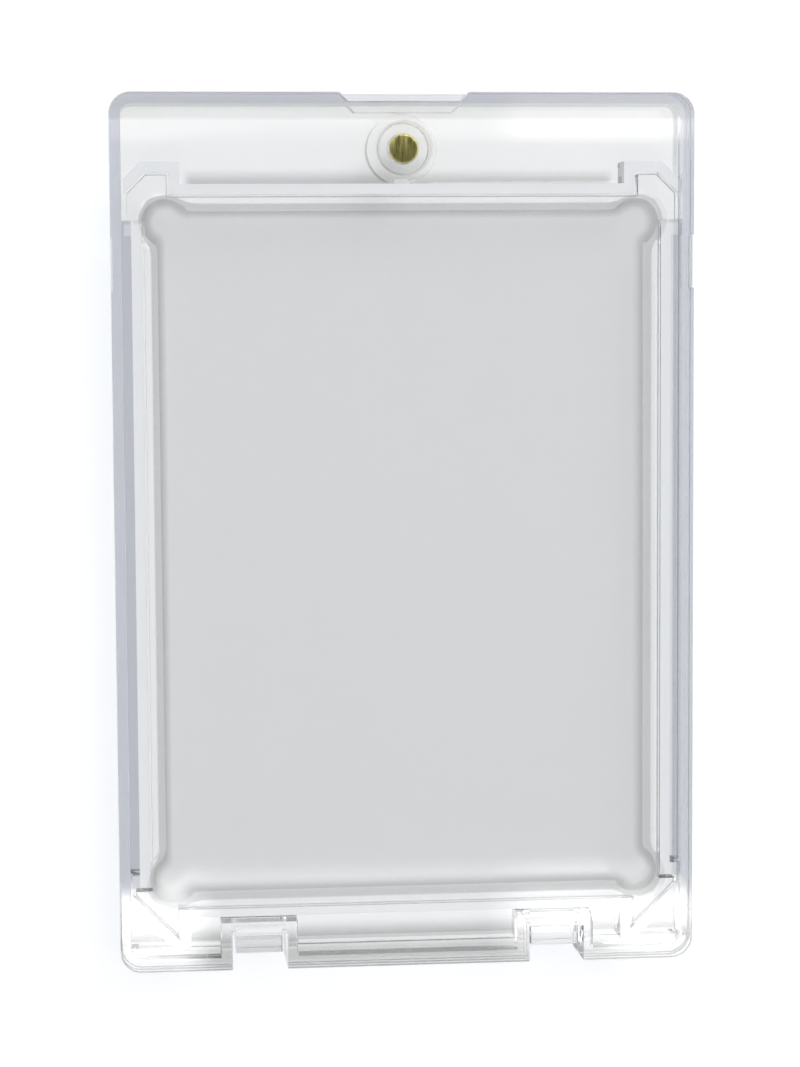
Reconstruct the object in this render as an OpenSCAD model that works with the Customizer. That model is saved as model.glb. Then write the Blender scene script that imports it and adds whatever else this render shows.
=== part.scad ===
// Clear two-piece display case for one trading card. The back half lies flat, the front
// half swings up about the bottom edge, and a pair of magnets holds the top edge shut.
// The origin is at the middle of the flat back. X is the width, +Y runs to the magnets
// and Z is the thickness.

/* [Card] */
// Width of the card
card_w = 63.5; // [60:0.1:64.5]
// Length of the card
card_l = 88.9; // [84:0.1:90]
// Thickness of the card
card_t = 0.9; // [0.3:0.05:1.3]
// Free play on each side of the card
card_side_play = 0.8; // [0.2:0.05:1]
// Free play at each end of the card
card_end_play = 1.3; // [0.3:0.05:1.5]
// Free play over the card's face
card_face_play = 0.1; // [0.05:0.05:0.3]

/* [Case] */
// Width of the case
case_w = 78; // [77:0.5:90]
// Length of the case
case_l = 117.5; // [117:0.5:130]
// Thickness of the back half
back_t = 4.5; // [4:0.1:7]
// Thickness of the front half
front_t = 4.5; // [4.2:0.1:7]
// Radius of the four outer corners
corner_r = 2.9; // [2:0.1:4]
// Thickness of the outer walls
wall = 1.5; // [1:0.1:1.8]
// Thickness of the plates around the window
skin = 1.5; // [1:0.1:2]
// Depth of the shallow finger ledge in each side wall
ledge_cut = 0.2; // [0.1:0.05:0.4]
// Length of the finger ledge
ledge_l = 7; // [4:0.5:10]
// Distance from the top edge to the finger ledge's middle
ledge_from_top = 22.5; // [18:0.5:60]

/* [Pocket] */
// Distance from the bottom edge to the card pocket
pocket_from_bottom = 10.3; // [10:0.1:11.2]
// Width of the sloping border of the pocket
slope_w = 1.2; // [0.6:0.1:1.3]
// Width of the flat rim between the slope and the ridges
rim_w = 1.1; // [0.8:0.1:1.4]
// Radius of the corner reliefs at the pocket's floor
relief_r = 2.9; // [1.5:0.1:3]
// Air between the rim and the front half's window block
rim_gap = 0.1; // [0.05:0.05:0.3]

/* [Ridges] */
// Thickness of the ridges at the top, the corners and the sides
ridge_t = 1.4; // [0.8:0.1:1.6]
// Thickness of the ridge along the bottom
foot_ridge_t = 1.1; // [0.8:0.1:1.3]
// Height of the ridges above the parting plane
ridge_rise = 1.8; // [0.8:0.1:2.4]
// Free play between the ridges and the front half's window block
ridge_play = 0.3; // [0.2:0.05:0.5]
// Gap between the front half's window block and its own outer walls
block_gap = 0.7; // [0.4:0.1:1]
// Height of the step in the top ridge near each corner
step_h = 2.9; // [1.5:0.1:3.2]
// Distance from the middle to the step in the top ridge
step_x = 31.2; // [28:0.1:31.6]
// Length of the level part of the top ridge beyond the step
step_run = 3.2; // [1.5:0.1:3.6]
// Distance from the middle to the ends of the bottom ridge
foot_x = 30.8; // [28:0.1:31.5]
// Distance from the pocket's bottom edge to the start of the lower corner ridges
foot_diag = 0.1; // [0:0.1:0.6]
// Distance from the pocket's top edge to each side rail
rail_top_gap = 1.6; // [1.5:0.1:6]
// Distance from the pocket's bottom edge to each side rail
rail_foot_gap = 0.9; // [0.6:0.1:6]
// Thickness of the end walls of the side rails
rail_end_t = 1.6; // [0.8:0.1:2.5]

/* [Thumb notch] */
// Width of the thumb notch in the front half
thumb_w = 17.2; // [12:0.2:30]
// Depth of the thumb notch
thumb_d = 1.15; // [0.6:0.05:1.6]

/* [Hinge] */
// Distance from the middle to each hinge notch
hinge_x = 20.2; // [14:0.1:24]
// Width of the hinge notches
notch_w = 7.4; // [5:0.1:10]
// Depth of the hinge notches
notch_d = 4.8; // [4.4:0.1:5.4]
// Width of the solid bar along the back half's bottom edge
bar_w = 2.4; // [1.8:0.1:3]
// Free play on each side of the hinge tongues
tongue_play = 0.5; // [0.2:0.05:0.8]
// Distance from the bottom edge to the tongues
tongue_set = 1.8; // [1.2:0.1:2.2]
// Thickness of the tongues
tongue_t = 1.4; // [0.8:0.1:1.5]
// Reach of the tongues below the parting plane
tongue_reach = 3; // [1.5:0.1:3.2]
// Thickness of the bridge that carries each tongue
bridge_t = 2.2; // [1.4:0.1:2.6]

/* [Magnets] */
// Diameter of the magnets
magnet_d = 4; // [3:0.1:4.6]
// Height of each magnet
magnet_h = 2.2; // [1.5:0.1:2.2]
// Chamfer on the magnets' edges
magnet_chamfer = 0.25; // [0.1:0.05:0.4]
// Radial free play of the magnets in their bores
magnet_play = 0.03; // [0.02:0.01:0.08]
// Distance from each magnet to the parting plane
magnet_inset = 0.15; // [0.1:0.05:0.3]
// Distance from the top edge to the magnets' axis
magnet_from_top = 7.4; // [7:0.1:7.8]
// Diameter of the back half's boss
back_boss_d = 9.4; // [9.3:0.1:10]
// Diameter of the front half's boss
front_boss_d = 6.8; // [6:0.1:7.6]
// Air between the two bosses
boss_gap = 0.1; // [0.05:0.05:0.3]

/* [Hidden] */
$fn = 96;
over = 1;
diag = sqrt(2);
top_y = case_l / 2;
foot_y = -case_l / 2;
total_t = back_t + front_t;
in_x = case_w / 2 - wall;

pocket_w = card_w + 2 * card_side_play;
pocket_l = card_l + 2 * card_end_play;
pocket_y0 = foot_y + pocket_from_bottom;
pocket_y1 = pocket_y0 + pocket_l;
pocket_y = (pocket_y0 + pocket_y1) / 2;
floor_z = back_t - (card_t + card_face_play) / 2;
roof_z = back_t + (card_t + card_face_play) / 2;
rim_z = roof_z - rim_gap;

border = slope_w + rim_w;
ring_x = pocket_w / 2 + border;
ring_top = pocket_y1 + border;
ring_foot = pocket_y0 - border;
rail_y1 = pocket_y1 - rail_top_gap;
rail_y0 = pocket_y0 + rail_foot_gap;
diag_foot_y = pocket_y0 + foot_diag;

magnet_y = top_y - magnet_from_top;
magnet_r = magnet_d / 2;
bore_r = magnet_r + magnet_play;

// A rectangle with round corners, centred on the origin.
module round_rect(w, l, r) {
    square([w - 2 * r, l], center = true);
    square([w, l - 2 * r], center = true);
    for (x = [-1, 1], y = [-1, 1])
        translate([x * (w / 2 - r), y * (l / 2 - r)]) circle(r);
}

// The two hinge notches in the bottom edge, larger by g all round.
module hinge_notches(g) {
    for (s = [-1, 1])
        translate([s * hinge_x - notch_w / 2 - g, foot_y - over])
            square([notch_w + 2 * g, notch_d + over + g]);
}

// The thumb notch in the top edge, with sloping ends, larger by g all round.
module thumb_notch(g) {
    half = thumb_w / 2 + g * (diag - 1);
    depth = thumb_d + g;
    polygon([
        [-half - over, top_y + over],
        [-half, top_y],
        [-half + depth, top_y - depth],
        [half - depth, top_y - depth],
        [half, top_y],
        [half + over, top_y + over]
    ]);
}

// The finger ledges in both side walls.
module side_ledges() {
    for (s = [-1, 1])
        translate([s * case_w / 2, top_y - ledge_from_top])
            square([2 * ledge_cut, ledge_l], center = true);
}

module back_outline() {
    difference() {
        round_rect(case_w, case_l, corner_r);
        hinge_notches(0);
    }
}

module back_inside() {
    difference() {
        round_rect(case_w - 2 * wall, case_l - 2 * wall, corner_r - wall);
        hinge_notches(wall);
        translate([-case_w / 2, foot_y - over]) square([case_w, bar_w + over]);
    }
}

module front_outline() {
    difference() {
        round_rect(case_w, case_l, corner_r);
        hinge_notches(0);
        thumb_notch(0);
        side_ledges();
    }
}

module front_inside() {
    difference() {
        round_rect(case_w - 2 * wall, case_l - 2 * wall, corner_r - wall);
        hinge_notches(wall);
        thumb_notch(wall);
    }
}

// The right half of the field inside the ridges, drawn in by g from them and by w from
// the outer walls.
function ring_side(g, w) = [
    [0, ring_top - g],
    [step_x + g, ring_top - g],
    [step_x + g, ring_top + step_h - g],
    [step_x + step_run - g * (diag - 1), ring_top + step_h - g],
    [in_x - w, ring_top + step_h + step_x + step_run - in_x + w - g * diag],
    [in_x - w, rail_y1 + g],
    [ring_x - g, rail_y1 + g],
    [ring_x - g, rail_y0 - g],
    [in_x - w, rail_y0 - g],
    [in_x - w, diag_foot_y - w + g * diag],
    [foot_x + g, diag_foot_y - in_x + foot_x + g * (diag + 1)],
    [foot_x + g, ring_foot + g],
    [0, ring_foot + g]
];

module ring(g, w) {
    polygon(ring_side(g, w));
    mirror([1, 0]) polygon(ring_side(g, w));
}

// The top ridge and the lower corner ridges, each a wall around the field.
module ridge_walls() {
    difference() {
        for (m = [0, 1])
            mirror([m, 0])
                polygon([
                    [0, ring_top + ridge_t],
                    [step_x - ridge_t, ring_top + ridge_t],
                    [step_x - ridge_t, ring_top + step_h + ridge_t],
                    [step_x + step_run + ridge_t * (diag - 1), ring_top + step_h + ridge_t],
                    [in_x + over, ring_top + step_h + step_x + step_run - in_x - over + ridge_t * diag],
                    [in_x + over, diag_foot_y + over - ridge_t * diag],
                    [foot_x, diag_foot_y - in_x + foot_x - ridge_t * diag],
                    [foot_x - ridge_t, foot_y],
                    [foot_x - ridge_t, ring_foot - foot_ridge_t],
                    [0, ring_foot - foot_ridge_t]
                ]);
        ring(0, 0);
        for (s = [-1, 1])
            translate([s * (in_x + over), (rail_y0 + rail_y1) / 2])
                square([2 * (in_x + over - ring_x), rail_y1 - rail_y0], center = true);
    }
}

// The side rails: a long wall beside the window, with an end wall to the outer wall.
module side_rails() {
    rail_l = rail_y1 - rail_y0;
    for (s = [-1, 1])
        translate([s * (ring_x + in_x + over) / 2, (rail_y0 + rail_y1) / 2])
            difference() {
                square([in_x + over - ring_x, rail_l], center = true);
                translate([s * ridge_t, 0])
                    square([in_x + over - ring_x, rail_l - 2 * rail_end_t], center = true);
            }
}

// The card pocket: a shallow tray with a sloping border and a relief at each corner.
module card_pocket() {
    depth = rim_z - floor_z;
    rise = depth + over;
    spread = slope_w * rise / depth;
    translate([0, pocket_y, floor_z])
        linear_extrude(height = rise, slices = 1, $fn = 4,
            scale = [(pocket_w + 2 * spread) / pocket_w, (pocket_l + 2 * spread) / pocket_l])
            square([pocket_w, pocket_l], center = true);
    for (x = [-1, 1], y = [-1, 1])
        translate([x * card_w / 2, pocket_y + y * card_l / 2, floor_z])
            cylinder(h = rise, r1 = relief_r, r2 = relief_r + spread);
}

// The part of the plan that clears the front half's walls and the bottom bar.
module above_parting() {
    difference() {
        round_rect(2 * (in_x - ridge_play), case_l - 2 * (wall + ridge_play), corner_r - wall);
        hinge_notches(wall + ridge_play);
        translate([-case_w / 2, foot_y - over]) square([case_w, bar_w + over]);
    }
}

module ridges() {
    ridge_walls();
    side_rails();
}

// The thick window block of the back half, with the card pocket in its top.
module back_window() {
    difference() {
        union() {
            linear_extrude(back_t)
                intersection() {
                    ring(0, 0);
                    back_inside();
                }
            linear_extrude(rim_z)
                intersection() {
                    ring(0, 0);
                    above_parting();
                }
        }
        card_pocket();
    }
}

module back_half() {
    color([0.88, 0.91, 0.94, 0.6])
        difference() {
            union() {
                linear_extrude(skin) back_outline();
                linear_extrude(back_t)
                    difference() {
                        back_outline();
                        back_inside();
                    }
                back_window();
                linear_extrude(back_t)
                    intersection() {
                        ridges();
                        back_outline();
                    }
                linear_extrude(back_t + ridge_rise)
                    intersection() {
                        ridges();
                        above_parting();
                    }
                translate([0, magnet_y, 0]) cylinder(h = back_t, d = back_boss_d);
            }
            translate([0, magnet_y, back_t - magnet_inset - magnet_h])
                cylinder(h = magnet_h + magnet_inset + over, r = bore_r);
        }
}

// One hinge tongue with the bridge that joins it to the front half's notch wall.
module hinge_tongue() {
    width = notch_w - 2 * tongue_play;
    translate([-width / 2, foot_y + tongue_set, back_t])
        cube([width, notch_d + wall / 2 - tongue_set, bridge_t]);
    translate([-width / 2, foot_y + tongue_set, back_t - tongue_reach])
        cube([width, tongue_t, tongue_reach + bridge_t]);
}

module front_half() {
    color([0.9, 0.93, 0.96, 0.5])
        difference() {
            union() {
                translate([0, 0, total_t - skin]) linear_extrude(skin) front_outline();
                translate([0, 0, back_t])
                    linear_extrude(front_t)
                        difference() {
                            front_outline();
                            front_inside();
                        }
                translate([0, 0, roof_z])
                    linear_extrude(total_t - roof_z)
                        intersection() {
                            ring(ridge_play, block_gap);
                            front_outline();
                        }
                translate([0, magnet_y, back_t + boss_gap])
                    cylinder(h = front_t - boss_gap, d = front_boss_d);
                for (s = [-1, 1]) translate([s * hinge_x, 0, 0]) hinge_tongue();
            }
            translate([0, magnet_y, back_t - over])
                cylinder(h = over + magnet_inset + magnet_h, r = bore_r);
        }
}

// A round magnet standing on the XY plane, chamfered at both ends.
module magnet() {
    cylinder(h = magnet_chamfer, r1 = magnet_r - magnet_chamfer, r2 = magnet_r);
    translate([0, 0, magnet_chamfer]) cylinder(h = magnet_h - 2 * magnet_chamfer, r = magnet_r);
    translate([0, 0, magnet_h - magnet_chamfer])
        cylinder(h = magnet_chamfer, r1 = magnet_r, r2 = magnet_r - magnet_chamfer);
}

module back_magnet() {
    color([0.72, 0.62, 0.3]) translate([0, magnet_y, back_t - magnet_inset - magnet_h]) magnet();
}

module front_magnet() {
    color([0.78, 0.68, 0.33]) translate([0, magnet_y, back_t + magnet_inset]) magnet();
}

back_half();
front_half();
back_magnet();
front_magnet();
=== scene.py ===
"""A clear two-piece display case for a trading card, seen from above on a white table."""
import bmesh
import bpy
import math
from mathutils import Euler, Matrix, Vector


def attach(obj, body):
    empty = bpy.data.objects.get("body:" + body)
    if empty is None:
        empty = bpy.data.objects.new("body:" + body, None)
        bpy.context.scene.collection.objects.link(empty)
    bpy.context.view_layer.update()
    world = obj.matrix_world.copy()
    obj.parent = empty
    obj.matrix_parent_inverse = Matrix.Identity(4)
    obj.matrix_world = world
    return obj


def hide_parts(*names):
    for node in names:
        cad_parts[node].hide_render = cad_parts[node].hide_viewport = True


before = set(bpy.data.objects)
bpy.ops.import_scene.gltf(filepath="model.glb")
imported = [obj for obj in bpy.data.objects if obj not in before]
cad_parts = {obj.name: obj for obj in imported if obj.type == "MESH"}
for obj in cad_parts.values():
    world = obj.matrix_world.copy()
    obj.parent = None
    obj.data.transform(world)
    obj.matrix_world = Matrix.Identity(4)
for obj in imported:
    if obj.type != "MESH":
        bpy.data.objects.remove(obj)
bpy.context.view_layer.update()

MM = 0.001

# Camera, as read from the outline's corners and the hinge notches in the 800 x 1067 frame.
FRAME_W = 800
FOCAL_PX = 2800
SENSOR_MM = 36
TILT_DEG = (4.89, 5.67, 0.82)
OFFSET_MM = (0.04, 0.66, -384.1)

# Moulded edges
EDGE_ROUND = 0.3 * MM
PLAIN_EDGE = 0.5
FINE_ROUND = 0.06 * MM
MERGE = 0.002 * MM

# The halves meet on this plane. The front's face there is drawn this much above it,
# because light can't tell apart two clear faces that coincide.
PARTING = 4.5 * MM
PARTING_AIR = 0.06 * MM
RIDGE_TOP = 6.3 * MM

# Where the bright panels of the room start and end, as the Y part of a direction, and
# for the sides as its X part and for all of them as its Z part
FOOT_PANEL = (-0.215, -0.195)
FOOT_CORNERS = (-0.215, -0.206)
HEAD_PANEL = (0.051, 0.057)
HEAD_BAND = (0.062, 0.070)
RIGHT_SIDE = (0.125, 0.15)
LEFT_SIDE = (0.018, 0.034)
OVERHEAD = (0.86, 0.93)
FOOT_LEVEL = 0.9
CORNER_LEVEL = 4.2

# The table: its half width, how far it is under the case, and its lift to white
TABLE_HALF = 3.0
TABLE_DROP = 0.2 * MM
TABLE_LIFT = 0.31

# The plan, from the CAD's own sizes
CASE_W = 78 * MM
CASE_L = 117.5 * MM
CORNER_R = 2.9 * MM
WALL = 1.5 * MM
CARD_W = 63.5 * MM
CARD_L = 88.9 * MM
RELIEF_R = 2.4 * MM
POCKET_W = 65.1 * MM
POCKET_L = 91.5 * MM
POCKET_Y = -2.7 * MM
SLOPE_W = 1.2 * MM
RIDGE_X = 29.8 * MM
RIDGE_Y = 46.75 * MM
RAIL_END = 1.1 * MM
BAR_Y = -56.35 * MM
INNER_FOOT = -57.25 * MM
CHANNEL_X = 36.25 * MM
MAGNET_Y = 51.35 * MM
MAGNET_RIM = 1.88 * MM

# Where the moulding's painted shade, and the painted reflection at the window's foot, start and end
# in that plan
BORDER_SHADE = (-1.1 * MM, 0.4 * MM)
RELIEF_BLEND = 2.0 * MM
LOW_REFLECTION_STRIP = (-47.2 * MM, -44.5 * MM)
RIDGE_SHADE = 2.4 * MM
RIDGE_END_SHADE = 2 * MM
BAR_SHADE = 2.6 * MM
BAR_TOP_SHADE = 1.9 * MM
BAR_ENDS = (26 * MM, 31 * MM)
COOL_WALLS = (-52 * MM, -46 * MM)
HEAD_SHADE = (54.9 * MM, 55.5 * MM)
EDGE_SHADE_LINE = (-0.35 * MM, -0.2 * MM)
BOSS_SHADE_RING = 3.5 * MM

# Red, green and blue of the clear plastic: plain, and down its walls
PLASTIC_TINT = (("Red", 0.99, 0.955), ("Green", 0.985, 0.96), ("Blue", 0.975, 0.99))
SMOKE = (0.5, 0.52, 0.53)
SMOKE_DENSITY = 15.0
RIPPLE = 0.5


# Shader helpers

def new_material(name):
    mat = bpy.data.materials.new(name)
    mat.use_nodes = True
    mat.node_tree.nodes.clear()
    return mat, mat.node_tree.nodes, mat.node_tree.links


def add_node(tree, kind, **inputs):
    """A node of this kind, with its named inputs set to plain values."""
    node = tree.nodes.new(kind)
    for name, value in inputs.items():
        node.inputs[name.replace("_", " ")].default_value = value
    return node


def calc(tree, operation, *values):
    """The result of a math node, from sockets or plain numbers."""
    node = tree.nodes.new("ShaderNodeMath")
    node.operation = operation
    for socket, value in zip(node.inputs, values):
        if isinstance(value, bpy.types.NodeSocket):
            tree.links.new(value, socket)
        else:
            socket.default_value = value
    return node.outputs[0]


def fade(tree, value, start, end, low, high):
    """low up to start, high from end on, and a smooth change between the two."""
    node = tree.nodes.new("ShaderNodeMapRange")
    node.interpolation_type = "SMOOTHSTEP"
    for name, number in (("Value", value), ("From Min", start), ("From Max", end),
                         ("To Min", low), ("To Max", high)):
        if isinstance(number, bpy.types.NodeSocket):
            tree.links.new(number, node.inputs[name])
        else:
            node.inputs[name].default_value = number
    return node.outputs["Result"]


def reach(tree, x, y):
    """How far (x, y) is from (0, 0)."""
    squares = (calc(tree, "MULTIPLY", x, x), calc(tree, "MULTIPLY", y, y))
    return calc(tree, "SQRT", calc(tree, "ADD", *squares))


def painted_shade_group():
    """Painted shade: a colour set by place in the moulding's plan that stands in for the shade
    its refraction casts. It is clear over the fields, painted darker through the card window,
    darkest where the pocket's sloping border and the roots of the ridge and bar bend the light
    away, and painted darker and cooler down the walls."""
    tree = bpy.data.node_groups.new("moulded_painted_shade", "ShaderNodeTree")
    face = tree.interface
    for name in ("Window", "Slope", "Root", "Wall", "Channel", "Bar", "Head", "Edge", "Boss"):
        face.new_socket(name, in_out="INPUT", socket_type="NodeSocketFloat")
    face.new_socket("Tint", in_out="OUTPUT", socket_type="NodeSocketColor")
    inside = tree.nodes.new("NodeGroupInput")
    out = tree.nodes.new("NodeGroupOutput")
    place = tree.nodes.new("ShaderNodeTexCoord")
    split = tree.nodes.new("ShaderNodeSeparateXYZ")
    tree.links.new(place.outputs["Object"], split.inputs[0])
    x = calc(tree, "ABSOLUTE", split.outputs["X"])
    y = split.outputs["Y"]
    tone = inside.outputs

    from_middle = calc(tree, "ABSOLUTE", calc(tree, "SUBTRACT", y, POCKET_Y))
    pocket = calc(tree, "MAXIMUM", calc(tree, "SUBTRACT", x, POCKET_W / 2),
                  calc(tree, "SUBTRACT", from_middle, POCKET_L / 2))
    corner_x = calc(tree, "SUBTRACT", x, CARD_W / 2)
    corner_y = calc(tree, "SUBTRACT", from_middle, CARD_L / 2)
    relief = calc(tree, "SUBTRACT", reach(tree, corner_x, corner_y), RELIEF_R)
    pocket = calc(tree, "SMOOTH_MIN", pocket, relief, RELIEF_BLEND)
    # Painted shade: the card window is painted darker, and a strip along its foot is left lighter
    # as a painted reflection.
    window = fade(tree, y, *LOW_REFLECTION_STRIP, 0.98, tone["Window"])
    # Painted shade along the pocket's sloping border, where refraction turns the light away.
    border = fade(tree, pocket, *BORDER_SHADE, window, tone["Slope"])
    shade = fade(tree, pocket, SLOPE_W - 0.2 * MM, SLOPE_W, border, 1.0)

    # Painted shade at the roots of the ridge and of the bar.
    above_ridge = calc(tree, "GREATER_THAN", y, RIDGE_Y)
    beside_ridge = fade(tree, x, RIDGE_X - RIDGE_END_SHADE, RIDGE_X, 1.0, 0.0)
    near_ridge = calc(tree, "MULTIPLY", above_ridge, beside_ridge)
    ridge_root = fade(tree, y, RIDGE_Y, RIDGE_Y + RIDGE_SHADE, tone["Root"], 1.0)
    above_bar = calc(tree, "GREATER_THAN", y, BAR_Y)
    bar_tone = calc(tree, "MULTIPLY", tone["Root"], 0.85)
    bar_root = fade(tree, y, BAR_Y, BAR_Y + BAR_SHADE, bar_tone, 1.0)
    for where, root in ((near_ridge, ridge_root), (above_bar, bar_root)):
        shade = calc(tree, "MULTIPLY", shade, fade(tree, where, 0.0, 1.0, 1.0, root))

    # Painted shade down the walls, along the channel beside the rails, over and in the foot bar,
    # under the head wall, and a painted dark line just inside the foot's outline.
    upper = fade(tree, y, *COOL_WALLS, 0.0, 1.0)
    past_x = calc(tree, "MAXIMUM", calc(tree, "SUBTRACT", x, CASE_W / 2 - CORNER_R), 0.0)
    past_y = calc(tree, "SUBTRACT", calc(tree, "ABSOLUTE", y), CASE_L / 2 - CORNER_R)
    past_y = calc(tree, "MAXIMUM", past_y, 0.0)
    outline = calc(tree, "SUBTRACT", reach(tree, past_x, past_y), CORNER_R)
    wall = calc(tree, "MULTIPLY", upper, fade(tree, outline, -WALL - 0.05 * MM, -WALL, 0.0, 1.0))
    across = calc(tree, "MULTIPLY", calc(tree, "GREATER_THAN", x, CHANNEL_X),
                  calc(tree, "LESS_THAN", x, CASE_W / 2 - WALL))
    along = calc(tree, "LESS_THAN", from_middle, POCKET_L / 2 - RAIL_END)
    beside = calc(tree, "MULTIPLY", across, along)
    over_bar = fade(tree, y, INNER_FOOT, INNER_FOOT + BAR_TOP_SHADE, tone["Bar"], 1.0)
    foot_wall = fade(tree, y, -CASE_L / 2, INNER_FOOT, 1.0, tone["Bar"])
    in_wall = calc(tree, "LESS_THAN", y, INNER_FOOT)
    bar = fade(tree, in_wall, 0.0, 1.0, over_bar, foot_wall)
    bar = fade(tree, x, *BAR_ENDS, bar, 1.0)
    shade = calc(tree, "MULTIPLY", shade, bar)
    under_wall = fade(tree, y, *HEAD_SHADE, 1.0, tone["Head"])
    shade = calc(tree, "MULTIPLY", shade, under_wall)
    rim_shade_line = fade(tree, outline, *EDGE_SHADE_LINE, 1.0, tone["Edge"])
    shade = calc(tree, "MULTIPLY", shade, fade(tree, upper, 0.0, 1.0, rim_shade_line, 1.0))
    shade = calc(tree, "MULTIPLY", shade, fade(tree, wall, 0.0, 1.0, 1.0, tone["Wall"]))
    shade = calc(tree, "MULTIPLY", shade, fade(tree, beside, 0.0, 1.0, 1.0, tone["Channel"]))

    # Painted shade: a dark ring round the magnet's boss, and a painted shadow below the magnet.
    past_magnet = calc(tree, "SUBTRACT", y, MAGNET_Y)
    around = reach(tree, x, past_magnet)
    from_shade_ring = calc(tree, "ABSOLUTE", calc(tree, "SUBTRACT", around, BOSS_SHADE_RING))
    ring_shade = fade(tree, from_shade_ring, 0.05 * MM, 0.35 * MM, tone["Boss"], 1.0)
    magnet_shadow = fade(tree, past_magnet, -2.4 * MM, -0.4 * MM, tone["Boss"], 1.0)
    magnet_shadow = fade(tree, around, BOSS_SHADE_RING - 0.5 * MM, BOSS_SHADE_RING, magnet_shadow, 1.0)
    shade = calc(tree, "MULTIPLY", shade, calc(tree, "MULTIPLY", ring_shade, magnet_shadow))

    cool = tree.nodes.new("ShaderNodeCombineColor")
    side = calc(tree, "MAXIMUM", wall, beside)
    for name, plain, tint in PLASTIC_TINT:
        tree.links.new(calc(tree, "MULTIPLY", shade, fade(tree, side, 0.0, 1.0, plain, tint)),
                       cool.inputs[name])
    tree.links.new(cool.outputs[0], out.inputs["Tint"])
    return tree


def polish_group():
    """Marks of handling on a polished moulding: fine hairlines, a slow flow ripple and
    faint smears. It gives a roughness and a height."""
    tree = bpy.data.node_groups.new("moulded_polish", "ShaderNodeTree")
    face = tree.interface
    for name in ("Base Roughness", "Smear", "Ripple", "Hairlines"):
        face.new_socket(name, in_out="INPUT", socket_type="NodeSocketFloat")
    for name in ("Roughness", "Height"):
        face.new_socket(name, in_out="OUTPUT", socket_type="NodeSocketFloat")
    nodes, links = tree.nodes, tree.links
    inside = nodes.new("NodeGroupInput")
    out = nodes.new("NodeGroupOutput")
    place = nodes.new("ShaderNodeTexCoord")

    smear = add_node(tree, "ShaderNodeTexNoise", Scale=90.0, Detail=4.0, Roughness=0.6)
    links.new(place.outputs["Object"], smear.inputs["Vector"])
    roughness = calc(tree, "MULTIPLY_ADD", smear.outputs["Fac"], inside.outputs["Smear"],
                     inside.outputs["Base Roughness"])
    links.new(roughness, out.inputs["Roughness"])

    ripple = add_node(tree, "ShaderNodeTexNoise", Scale=60.0, Detail=1.0, Roughness=0.4)
    links.new(place.outputs["Object"], ripple.inputs["Vector"])
    turn = add_node(tree, "ShaderNodeMapping")
    turn.inputs["Rotation"].default_value = (0, 0, math.radians(33))
    turn.inputs["Scale"].default_value = (2600, 60, 2600)
    links.new(place.outputs["Object"], turn.inputs["Vector"])
    hair = add_node(tree, "ShaderNodeTexNoise", Scale=1.0, Detail=2.0, Roughness=0.7)
    links.new(turn.outputs["Vector"], hair.inputs["Vector"])
    hair_lift = calc(tree, "MULTIPLY", hair.outputs["Fac"], inside.outputs["Hairlines"])
    height = calc(tree, "MULTIPLY_ADD", ripple.outputs["Fac"], inside.outputs["Ripple"], hair_lift)
    links.new(height, out.inputs["Height"])
    return tree


POLISH = polish_group()
PAINTED_SHADE = painted_shade_group()


def clear_plastic(name, painted_shades, clarity=1.0, matt=0.0):
    """Clear polished moulding. It lets lamp light through, and darkens with its depth. Where
    painted shades are given, its colour carries painted shade set by place in its plan.
    With less clarity and some matt it is the satin of ridge tops and rounded edges."""
    mat, nodes, links = new_material(name)
    tree = mat.node_tree
    out = nodes.new("ShaderNodeOutputMaterial")
    body = nodes.new("ShaderNodeBsdfPrincipled")
    if painted_shades:
        shade = nodes.new("ShaderNodeGroup")
        shade.node_tree = PAINTED_SHADE
        for tone_name, value in painted_shades.items():
            shade.inputs[tone_name].default_value = value
        links.new(shade.outputs["Tint"], body.inputs["Base Color"])
    else:
        body.inputs["Base Color"].default_value = (0.99, 0.99, 1.0, 1)
    body.inputs["Transmission Weight"].default_value = clarity
    body.inputs["IOR"].default_value = 1.53
    polish = nodes.new("ShaderNodeGroup")
    polish.node_tree = POLISH
    polish.inputs["Base Roughness"].default_value = matt
    polish.inputs["Smear"].default_value = 0.03
    polish.inputs["Ripple"].default_value = RIPPLE
    polish.inputs["Hairlines"].default_value = 0.02
    links.new(polish.outputs["Roughness"], body.inputs["Roughness"])
    bump = add_node(tree, "ShaderNodeBump", Strength=0.12, Distance=0.00005)
    links.new(polish.outputs["Height"], bump.inputs["Height"])
    links.new(bump.outputs["Normal"], body.inputs["Normal"])
    path = nodes.new("ShaderNodeLightPath")
    soft = calc(tree, "MAXIMUM", path.outputs["Is Shadow Ray"], path.outputs["Is Diffuse Ray"])
    through = nodes.new("ShaderNodeBsdfTransparent")
    through.inputs["Color"].default_value = (0.97, 0.972, 0.976, 1)
    mix = nodes.new("ShaderNodeMixShader")
    links.new(soft, mix.inputs["Fac"])
    links.new(body.outputs[0], mix.inputs[1])
    links.new(through.outputs[0], mix.inputs[2])
    links.new(mix.outputs[0], out.inputs["Surface"])
    depth = nodes.new("ShaderNodeVolumeAbsorption")
    depth.inputs["Color"].default_value = (*SMOKE, 1)
    depth.inputs["Density"].default_value = SMOKE_DENSITY
    links.new(depth.outputs[0], out.inputs["Volume"])
    return mat


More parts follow.
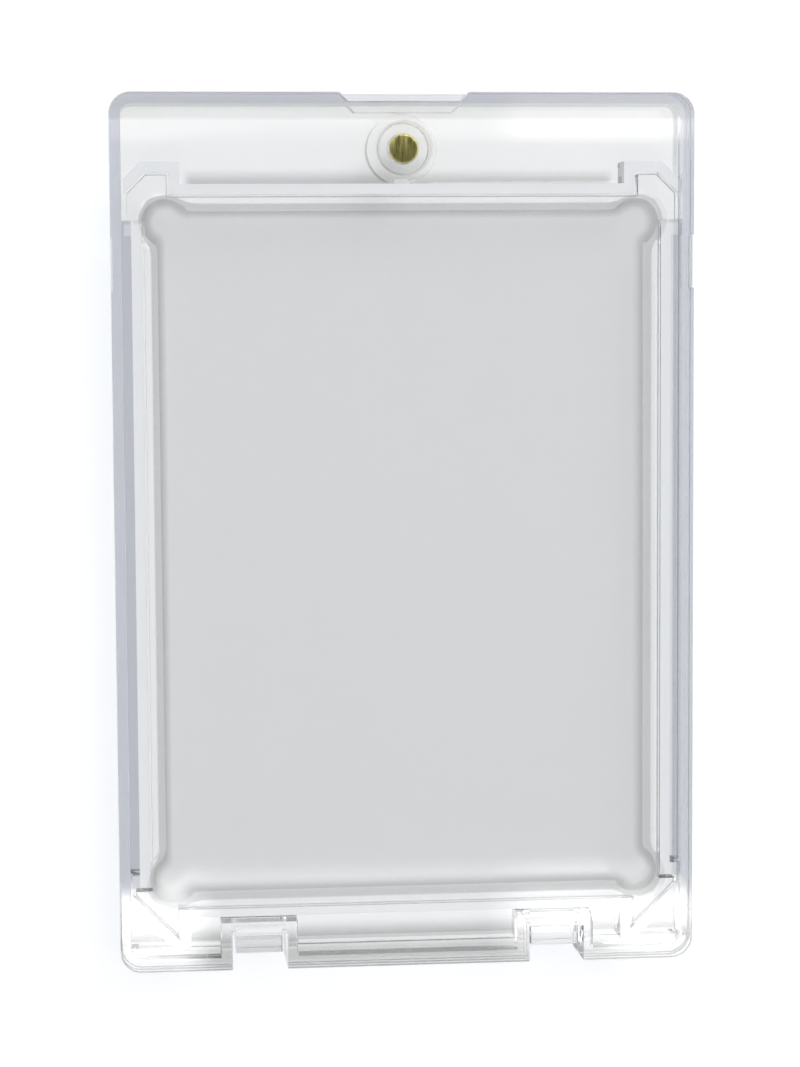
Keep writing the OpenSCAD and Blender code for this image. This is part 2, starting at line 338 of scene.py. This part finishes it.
def gold_plate():
    """Gold-plated magnet: a bright rim, and brushed lines along Y, with the face painted dark
    olive towards -Y as painted shade."""
    mat, nodes, links = new_material("gold_plate")
    tree = mat.node_tree
    out = nodes.new("ShaderNodeOutputMaterial")
    body = nodes.new("ShaderNodeBsdfPrincipled")
    body.inputs["Metallic"].default_value = 0.6
    place = nodes.new("ShaderNodeTexCoord")
    stretch = nodes.new("ShaderNodeMapping")
    stretch.inputs["Scale"].default_value = (2400, 260, 260)
    links.new(place.outputs["Object"], stretch.inputs["Vector"])
    lines = add_node(tree, "ShaderNodeTexNoise", Scale=1.0, Detail=3.0, Roughness=0.65)
    links.new(stretch.outputs["Vector"], lines.inputs["Vector"])
    split = nodes.new("ShaderNodeSeparateXYZ")
    links.new(place.outputs["Object"], split.inputs[0])
    x = split.outputs["X"]
    y = calc(tree, "SUBTRACT", split.outputs["Y"], MAGNET_Y)
    rim = fade(tree, reach(tree, x, y), MAGNET_RIM - 0.1 * MM, MAGNET_RIM, 0.0, 1.0)
    light_towards_y = fade(tree, y, -1.6 * MM, 1.4 * MM, 0.05, 0.85)
    brushed = calc(tree, "MULTIPLY", light_towards_y, fade(tree, lines.outputs["Fac"], 0.38, 0.62, 0.0, 1.0))
    gold_share = calc(tree, "MAXIMUM", rim, brushed)
    # Colour A is the painted shade on the magnet's face, colour B its gold.
    colour = nodes.new("ShaderNodeMix")
    colour.data_type = "RGBA"
    colour.inputs["A"].default_value = (0.30, 0.26, 0.045, 1)
    colour.inputs["B"].default_value = (1.0, 0.88, 0.34, 1)
    links.new(gold_share, colour.inputs["Factor"])
    links.new(colour.outputs["Result"], body.inputs["Base Color"])
    rough = nodes.new("ShaderNodeMapRange")
    rough.inputs["To Min"].default_value = 0.18
    rough.inputs["To Max"].default_value = 0.42
    links.new(lines.outputs["Fac"], rough.inputs["Value"])
    links.new(rough.outputs[0], body.inputs["Roughness"])
    bump = add_node(tree, "ShaderNodeBump", Strength=0.6, Distance=0.00003)
    links.new(lines.outputs["Fac"], bump.inputs["Height"])
    links.new(bump.outputs["Normal"], body.inputs["Normal"])
    links.new(body.outputs[0], out.inputs["Surface"])
    return mat


# Pieces

def moulded_copy(node, body, material, edge, lit=None, satin_top=None):
    """A merged copy of a CAD node with its edges rounded as a moulding's are. The rounded
    edges take the lit material, and the ridge tops the satin one, where these are given."""
    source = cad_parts[node]
    mesh = source.data.copy()
    shape = bmesh.new()
    shape.from_mesh(mesh)
    bmesh.ops.remove_doubles(shape, verts=shape.verts, dist=MERGE)
    bmesh.ops.dissolve_limit(shape, angle_limit=math.radians(0.5), verts=shape.verts,
                             edges=shape.edges)
    if body == "front":
        for vert in shape.verts:
            if abs(vert.co.z - PARTING) < MERGE:
                vert.co.z += PARTING_AIR
    rounding = shape.edges.layers.float.new("bevel_weight_edge")
    for line in shape.edges:
        if line.is_convex and line.calc_face_angle(0) > math.radians(30):
            on_ridge = all(abs(vert.co.z - RIDGE_TOP) < MERGE for vert in line.verts)
            line[rounding] = 1.0 if on_ridge else PLAIN_EDGE
    shape.to_mesh(mesh)
    shape.free()
    mesh.materials.clear()
    mesh.materials.append(material)
    if lit is not None:
        mesh.materials.append(lit)
    if satin_top is not None:
        mesh.materials.append(satin_top)
        for polygon in mesh.polygons:
            if abs(polygon.center.z - RIDGE_TOP) < MERGE:
                polygon.material_index = 2
    piece = bpy.data.objects.new(node + "_moulded", mesh)
    bpy.context.collection.objects.link(piece)
    bevel = piece.modifiers.new("edge_round", "BEVEL")
    bevel.width = edge
    bevel.segments = 2
    bevel.limit_method = "WEIGHT"
    bevel.use_clamp_overlap = True
    if lit is not None:
        bevel.material = 1
    level = piece.modifiers.new("flat_faces", "WEIGHTED_NORMAL")
    level.keep_sharp = True
    level.weight = 100
    for polygon in mesh.polygons:
        polygon.use_smooth = True
    mesh.set_sharp_from_angle(angle=math.radians(30))
    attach(piece, body)
    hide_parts(node)
    return piece


# How dark each half is painted at each place of its plan: levels of painted shade.
BACK_PAINTED_SHADES = {"Window": 0.912, "Slope": 0.6, "Root": 0.62, "Wall": 0.87, "Channel": 0.75,
              "Bar": 1.0, "Head": 1.0, "Edge": 1.0, "Boss": 1.0}
FRONT_PAINTED_SHADES = {"Window": 0.912, "Slope": 0.88, "Root": 1.0, "Wall": 0.87, "Channel": 0.85,
               "Bar": 0.62, "Head": 0.86, "Edge": 0.3, "Boss": 0.82}
clear_back = clear_plastic("clear_back", BACK_PAINTED_SHADES)
satin = clear_plastic("satin_ridges", None, clarity=0.3, matt=0.25)
clear_front = clear_plastic("clear_front", FRONT_PAINTED_SHADES)
bright = clear_plastic("bright_edges", None, clarity=0.5, matt=0.2)
gold = gold_plate()
moulded_copy("back_half", "back", clear_back, EDGE_ROUND, bright, satin)
moulded_copy("front_half", "front", clear_front, EDGE_ROUND, bright)
moulded_copy("back_magnet", "back", gold, FINE_ROUND / PLAIN_EDGE)
moulded_copy("front_magnet", "front", gold, FINE_ROUND / PLAIN_EDGE)


# Table, lamps and camera

def table():
    """A large white table. It keeps the case's shadow and is white to the camera."""
    half = TABLE_HALF
    drop = TABLE_DROP
    corners = [(x * half, y * half, -drop) for x, y in ((-1, -1), (1, -1), (1, 1), (-1, 1))]
    mesh = bpy.data.meshes.new("table")
    mesh.from_pydata(corners, [], [(0, 1, 2, 3)])
    obj = bpy.data.objects.new("table", mesh)
    bpy.context.collection.objects.link(obj)
    mat, nodes, links = new_material("table_white")
    out = nodes.new("ShaderNodeOutputMaterial")
    paint = nodes.new("ShaderNodeBsdfDiffuse")
    paint.inputs["Color"].default_value = (0.8, 0.8, 0.8, 1)
    glow = nodes.new("ShaderNodeEmission")
    path = nodes.new("ShaderNodeLightPath")
    tree = mat.node_tree
    seen = calc(tree, "MAXIMUM", path.outputs["Is Camera Ray"], path.outputs["Is Transmission Ray"])
    seen = calc(tree, "MAXIMUM", seen, path.outputs["Is Glossy Ray"])
    links.new(calc(tree, "MULTIPLY", seen, TABLE_LIFT), glow.inputs["Strength"])
    both = nodes.new("ShaderNodeAddShader")
    links.new(paint.outputs[0], both.inputs[0])
    links.new(glow.outputs[0], both.inputs[1])
    links.new(both.outputs[0], out.inputs["Surface"])
    mesh.materials.append(mat)


def sky():
    """Soft room light, brighter overhead and cooler near the horizon."""
    world = bpy.data.worlds.new("room")
    bpy.context.scene.world = world
    world.use_nodes = True
    nodes, links = world.node_tree.nodes, world.node_tree.links
    nodes.clear()
    out = nodes.new("ShaderNodeOutputWorld")
    back = nodes.new("ShaderNodeBackground")
    back.inputs["Strength"].default_value = 1.0
    place = nodes.new("ShaderNodeTexCoord")
    split = nodes.new("ShaderNodeSeparateXYZ")
    ramp = nodes.new("ShaderNodeValToRGB")
    ramp.color_ramp.elements[0].position = 0.25
    ramp.color_ramp.elements[0].color = (0.95, 0.98, 1.0, 1)
    ramp.color_ramp.elements[1].position = 0.75
    ramp.color_ramp.elements[1].color = (0.42, 0.44, 0.47, 1)
    tree = world.node_tree
    links.new(place.outputs["Generated"], split.inputs[0])
    links.new(split.outputs["Z"], ramp.inputs["Fac"])
    high = fade(tree, split.outputs["Z"], *OVERHEAD, 0.0, 1.0)
    right = fade(tree, split.outputs["X"], *RIGHT_SIDE, 0.0, 1.0)
    left = fade(tree, split.outputs["X"], *LEFT_SIDE, 1.0, 0.0)
    foot = fade(tree, split.outputs["Y"], *FOOT_PANEL, FOOT_LEVEL, 0.0)
    corners = fade(tree, split.outputs["Y"], *FOOT_CORNERS, CORNER_LEVEL, 0.0)
    corners = calc(tree, "MULTIPLY", corners, calc(tree, "MAXIMUM", right, left))
    head = fade(tree, split.outputs["Y"], *HEAD_PANEL, 0.0, 1.0)
    band = fade(tree, split.outputs["Y"], *HEAD_BAND, 1.0, 0.0)
    beyond = fade(tree, right, 0.0, 1.0, 0.0, 0.8)
    head = calc(tree, "MULTIPLY", head, calc(tree, "ADD", band, beyond))
    level = calc(tree, "ADD", calc(tree, "ADD", foot, corners), head)
    panels = calc(tree, "MULTIPLY", high, fade(tree, level, 0.0, 0.4, 0.0, 1.0))
    shine = nodes.new("ShaderNodeCombineColor")
    for name in ("Red", "Green", "Blue"):
        links.new(calc(tree, "MAXIMUM", level, 0.45), shine.inputs[name])
    lift = nodes.new("ShaderNodeMix")
    lift.data_type = "RGBA"
    links.new(panels, lift.inputs["Factor"])
    links.new(ramp.outputs["Color"], lift.inputs["A"])
    links.new(shine.outputs[0], lift.inputs["B"])
    links.new(lift.outputs["Result"], back.inputs["Color"])
    links.new(back.outputs[0], out.inputs["Surface"])


def lamp(name, place, width, height, radiance):
    """A soft box at this place, aimed at the case, as bright as this on its face."""
    light = bpy.data.lights.new(name, "AREA")
    light.shape = "RECTANGLE"
    light.size = width
    light.size_y = height
    light.energy = radiance * width * height * math.pi
    obj = bpy.data.objects.new(name, light)
    obj.location = place
    obj.rotation_euler = (-Vector(place)).to_track_quat("-Z", "Y").to_euler()
    bpy.context.collection.objects.link(obj)


def camera():
    """The photograph's camera, from the case's turn and offset in front of it."""
    turn = Euler([math.radians(a) for a in TILT_DEG], "XYZ").to_matrix().to_4x4()
    shift = Matrix.Translation(Vector(OFFSET_MM) * MM)
    view = (shift @ turn).inverted()
    data = bpy.data.cameras.new("photo_camera")
    data.sensor_fit = "HORIZONTAL"
    data.sensor_width = SENSOR_MM
    data.lens = FOCAL_PX / FRAME_W * SENSOR_MM
    data.clip_start = 0.01
    obj = bpy.data.objects.new("photo_camera", data)
    obj.matrix_world = view
    bpy.context.collection.objects.link(obj)
    bpy.context.scene.camera = obj


table()
sky()
lamp("key", (0.6, 0.8, 0.75), 0.9, 0.6, 4.0)
camera()

bpy.context.scene.view_settings.view_transform = "Standard"
